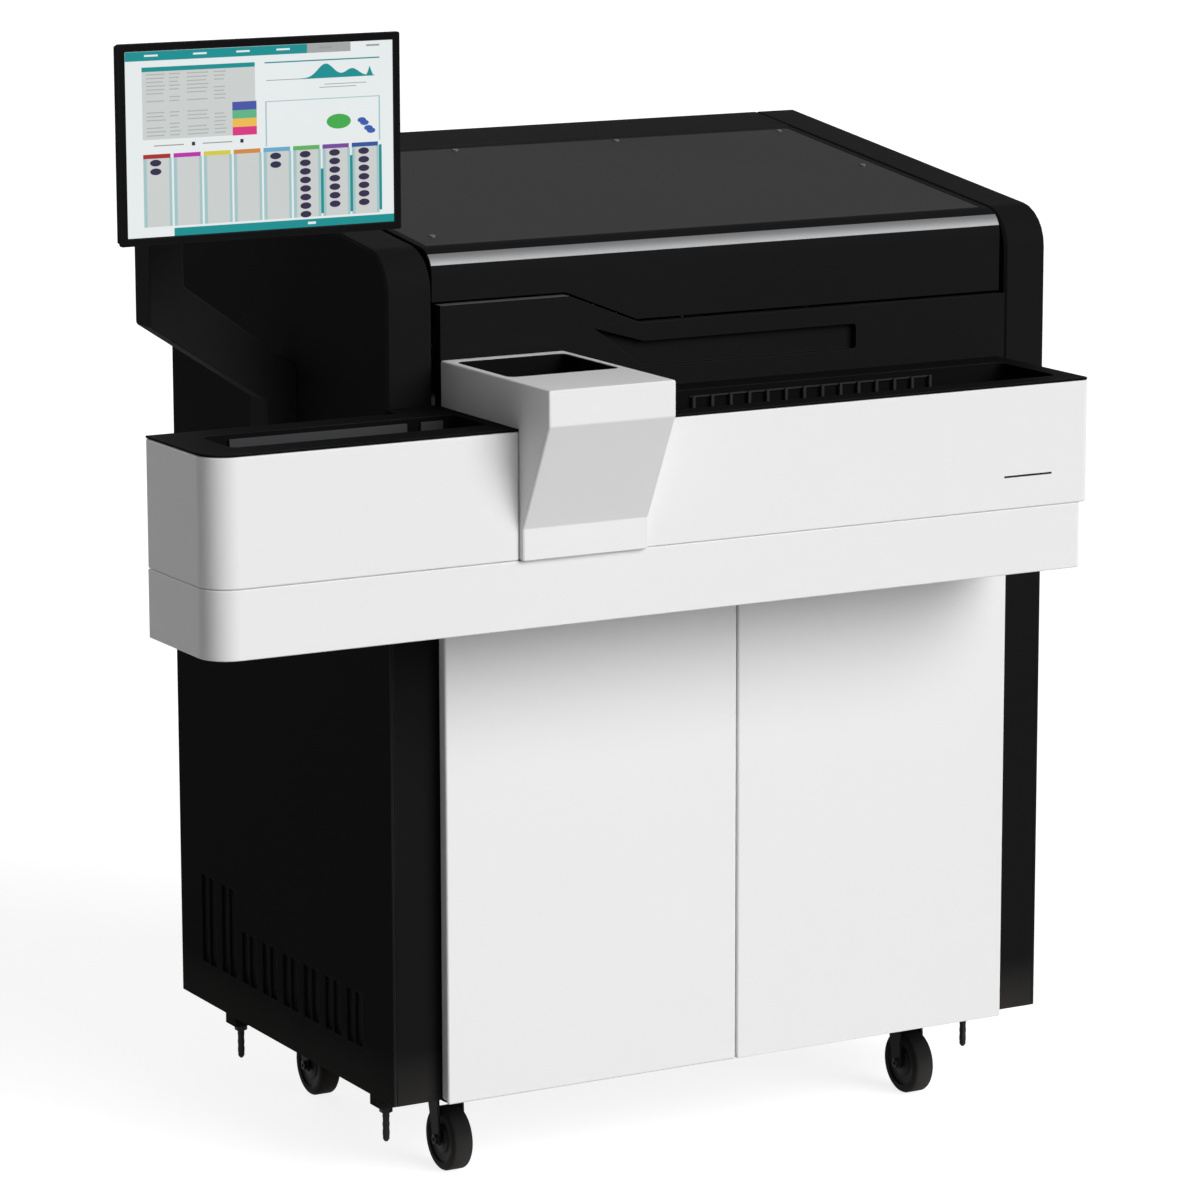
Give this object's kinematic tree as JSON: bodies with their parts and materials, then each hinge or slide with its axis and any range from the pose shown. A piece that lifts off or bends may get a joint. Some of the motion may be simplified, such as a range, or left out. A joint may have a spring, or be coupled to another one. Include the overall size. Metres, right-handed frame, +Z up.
{
  "type": "biochemistry analyzer",
  "caption": "Floor-standing laboratory analyzer: cabinet on casters with doors, lidded work deck, front sample belt, sample pod and monitor on a side arm.",
  "frame": {"origin": "on the floor under the middle of the overall box, monitor and pod included", "axes": "+X to the right seen from the front, +Y to the back, +Z up"},
  "size_m": [1.145, 0.8192, 1.2645],
  "materials": {
    "white_cover": "satin white moulded cover",
    "white_door": "satin white powder coat",
    "white_arm": "satin white moulding",
    "black_sheet": "fine matt black powder coat",
    "black_frame": "matt black coated profile",
    "black_cover": "fine textured black moulding",
    "tray_black": "satin black moulding",
    "lid_glass_grey": "dark grey gloss panel",
    "trim_aluminium": "satin aluminium",
    "guide_grey": "dark grey guide rail and bars",
    "deck_grey": "light grey moulding",
    "bowl_aluminium": "turned and anodised bowl",
    "lamp_black": "black anodised",
    "steel": "turned steel",
    "fork_black": "black zinc coat",
    "wheel_rubber": "black tread",
    "bottle_white": "white bottles with caps",
    "cuvette_clear": "clear cuvettes",
    "tank_white": "milky tank",
    "monitor_black": "black monitor shell",
    "screen": "lit screen"
  },
  "bodies": {
    "body": {"chassis_base": "black_sheet", "front_frame": "black_frame", "left_side_panel": "black_sheet", "right_side_panel": "black_sheet", "back_panel": "black_sheet", "power_inlet": "tray_black", "fluid_ports": "steel", "left_arch": "black_cover", "right_arch": "black_cover", "rear_hood": "black_cover", "front_fascia": "black_cover", "work_deck": "deck_grey", "reagent_bowl": "bowl_aluminium", "reaction_bowl": "bowl_aluminium", "belt_carrier": "black_frame", "lower_belt": "white_cover", "upper_belt_left": "white_cover", "upper_belt_right": "white_cover", "left_tray": "tray_black", "right_tray": "tray_black", "rack_rail": "guide_grey", "tube_comb": "guide_grey", "sample_pod": "white_cover", "pod_well": "tray_black", "wash_station": "deck_grey", "lamp_housing": "lamp_black", "water_tank": "tank_white", "waste_tank": "tank_white", "electronics_box": "deck_grey", "monitor_bracket": "black_frame"},
    "left_door": {"left_door": "white_door"},
    "right_door": {"right_door": "white_door"},
    "lid": {"lid_frame": "black_cover", "lid_panel": "lid_glass_grey", "lid_trim": "trim_aluminium"},
    "monitor_arm": {"monitor_arm": "black_frame"},
    "monitor_head": {"monitor_head": "black_frame"},
    "monitor": {"monitor_housing": "monitor_black", "monitor_bezel": "monitor_black", "monitor_screen": "screen"},
    "reagent_carousel": {"reagent_carousel": "bottle_white"},
    "reaction_rotor": {"reaction_rotor": "cuvette_clear"},
    "reagent_probe_shaft": {"reagent_probe_shaft": "steel"},
    "reagent_probe_arm": {"reagent_probe_arm": "white_arm"},
    "sample_probe_shaft": {"sample_probe_shaft": "steel"},
    "sample_probe_arm": {"sample_probe_arm": "white_arm"},
    "stirrer_shaft": {"stirrer_shaft": "steel"},
    "stirrer_arm": {"stirrer_arm": "white_arm"},
    "caster_fork_front_left": {"caster_fork_front_left": "fork_black"},
    "caster_wheel_front_left": {"caster_wheel_front_left": "wheel_rubber"},
    "levelling_stud_front_left": {"levelling_stud_front_left": "steel"},
    "caster_fork_front_right": {"caster_fork_front_right": "fork_black"},
    "caster_wheel_front_right": {"caster_wheel_front_right": "wheel_rubber"},
    "levelling_stud_front_right": {"levelling_stud_front_right": "steel"},
    "caster_fork_rear_left": {"caster_fork_rear_left": "fork_black"},
    "caster_wheel_rear_left": {"caster_wheel_rear_left": "wheel_rubber"},
    "levelling_stud_rear_left": {"levelling_stud_rear_left": "steel"},
    "caster_fork_rear_right": {"caster_fork_rear_right": "fork_black"},
    "caster_wheel_rear_right": {"caster_wheel_rear_right": "wheel_rubber"},
    "levelling_stud_rear_right": {"levelling_stud_rear_right": "steel"}
  },
  "joints": [
    {"name": "left_door_hinge", "type": "hinge", "parent": "body", "child": "left_door", "pos_m": [-0.1968, -0.17065, 0.1], "axis": [0, 0, -1], "range_deg": [0, 90]},
    {"name": "right_door_hinge", "type": "hinge", "parent": "body", "child": "right_door", "pos_m": [0.5048, -0.17065, 0.1], "axis": [0, 0, 1], "range_deg": [0, 90]},
    {"name": "lid_hinge", "type": "hinge", "parent": "body", "child": "lid", "pos_m": [-0.5515, 0.29905, 1.07691], "axis": [-1, 0, 0], "range_deg": [0, 70]},
    {"name": "monitor_swing", "type": "hinge", "parent": "body", "child": "monitor_arm", "pos_m": [-0.4135, 0.07435, 1.113], "axis": [0, 0, -1], "range_deg": [0, 60]},
    {"name": "monitor_turn", "type": "hinge", "parent": "monitor_arm", "child": "monitor_head", "pos_m": [-0.4135, -0.11435, 1.1433], "axis": [0, 0, 1], "range_deg": [-40, 40]},
    {"name": "monitor_tilt", "type": "hinge", "parent": "monitor_head", "child": "monitor", "pos_m": [-0.4135, -0.14335, 1.162], "axis": [-1, 0, 0], "range_deg": [-5, 20]},
    {"name": "carousel_turn", "type": "hinge", "parent": "body", "child": "reagent_carousel", "pos_m": [-0.04258, 0.0637, 0.872], "axis": [0, 0, 1], "continuous": true},
    {"name": "rotor_turn", "type": "hinge", "parent": "body", "child": "reaction_rotor", "pos_m": [0.34462, 0.0637, 0.872], "axis": [0, 0, 1], "continuous": true},
    {"name": "reagent_probe_lift", "type": "slide", "parent": "body", "child": "reagent_probe_shaft", "axis": [0, 0, 1], "range_m": [-0.034, 0]},
    {"name": "reagent_probe_swing", "type": "hinge", "parent": "reagent_probe_shaft", "child": "reagent_probe_arm", "pos_m": [0.14604, 0.13351, 0.872], "axis": [0, 0, 1], "range_deg": [-90, 90]},
    {"name": "sample_probe_lift", "type": "slide", "parent": "body", "child": "sample_probe_shaft", "axis": [0, 0, 1], "range_m": [-0.034, 0]},
    {"name": "sample_probe_swing", "type": "hinge", "parent": "sample_probe_shaft", "child": "sample_probe_arm", "pos_m": [0.14604, -0.07592, 0.872], "axis": [0, 0, 1], "range_deg": [-146, 0]},
    {"name": "stirrer_lift", "type": "slide", "parent": "body", "child": "stirrer_shaft", "axis": [0, 0, 1], "range_m": [-0.034, 0]},
    {"name": "stirrer_swing", "type": "hinge", "parent": "stirrer_shaft", "child": "stirrer_arm", "pos_m": [0.24462, 0.26605, 0.872], "axis": [0, 0, 1], "range_deg": [-35, 10]},
    {"name": "caster_swivel_front_left", "type": "hinge", "parent": "body", "child": "caster_fork_front_left", "pos_m": [-0.1625, -0.09265, 0.094], "axis": [0, 0, 1], "continuous": true},
    {"name": "wheel_roll_front_left", "type": "hinge", "parent": "caster_fork_front_left", "child": "caster_wheel_front_left", "pos_m": [-0.1625, -0.10265, 0.036], "axis": [1, 0, 0], "continuous": true},
    {"name": "stud_screw_front_left", "type": "slide", "parent": "body", "child": "levelling_stud_front_left", "axis": [0, 0, -1], "range_m": [0, 0.04]},
    {"name": "caster_swivel_front_right", "type": "hinge", "parent": "body", "child": "caster_fork_front_right", "pos_m": [0.4395, -0.09265, 0.094], "axis": [0, 0, 1], "continuous": true},
    {"name": "wheel_roll_front_right", "type": "hinge", "parent": "caster_fork_front_right", "child": "caster_wheel_front_right", "pos_m": [0.4395, -0.10265, 0.036], "axis": [1, 0, 0], "continuous": true},
    {"name": "stud_screw_front_right", "type": "slide", "parent": "body", "child": "levelling_stud_front_right", "axis": [0, 0, -1], "range_m": [0, 0.04]},
    {"name": "caster_swivel_rear_left", "type": "hinge", "parent": "body", "child": "caster_fork_rear_left", "pos_m": [-0.1625, 0.23735, 0.094], "axis": [0, 0, 1], "continuous": true},
    {"name": "wheel_roll_rear_left", "type": "hinge", "parent": "caster_fork_rear_left", "child": "caster_wheel_rear_left", "pos_m": [-0.1625, 0.22735, 0.036], "axis": [1, 0, 0], "continuous": true},
    {"name": "stud_screw_rear_left", "type": "slide", "parent": "body", "child": "levelling_stud_rear_left", "axis": [0, 0, -1], "range_m": [0, 0.04]},
    {"name": "caster_swivel_rear_right", "type": "hinge", "parent": "body", "child": "caster_fork_rear_right", "pos_m": [0.4395, 0.23735, 0.094], "axis": [0, 0, 1], "continuous": true},
    {"name": "wheel_roll_rear_right", "type": "hinge", "parent": "caster_fork_rear_right", "child": "caster_wheel_rear_right", "pos_m": [0.4395, 0.22735, 0.036], "axis": [1, 0, 0], "continuous": true},
    {"name": "stud_screw_rear_right", "type": "slide", "parent": "body", "child": "levelling_stud_rear_right", "axis": [0, 0, -1], "range_m": [0, 0.04]}
  ]
}
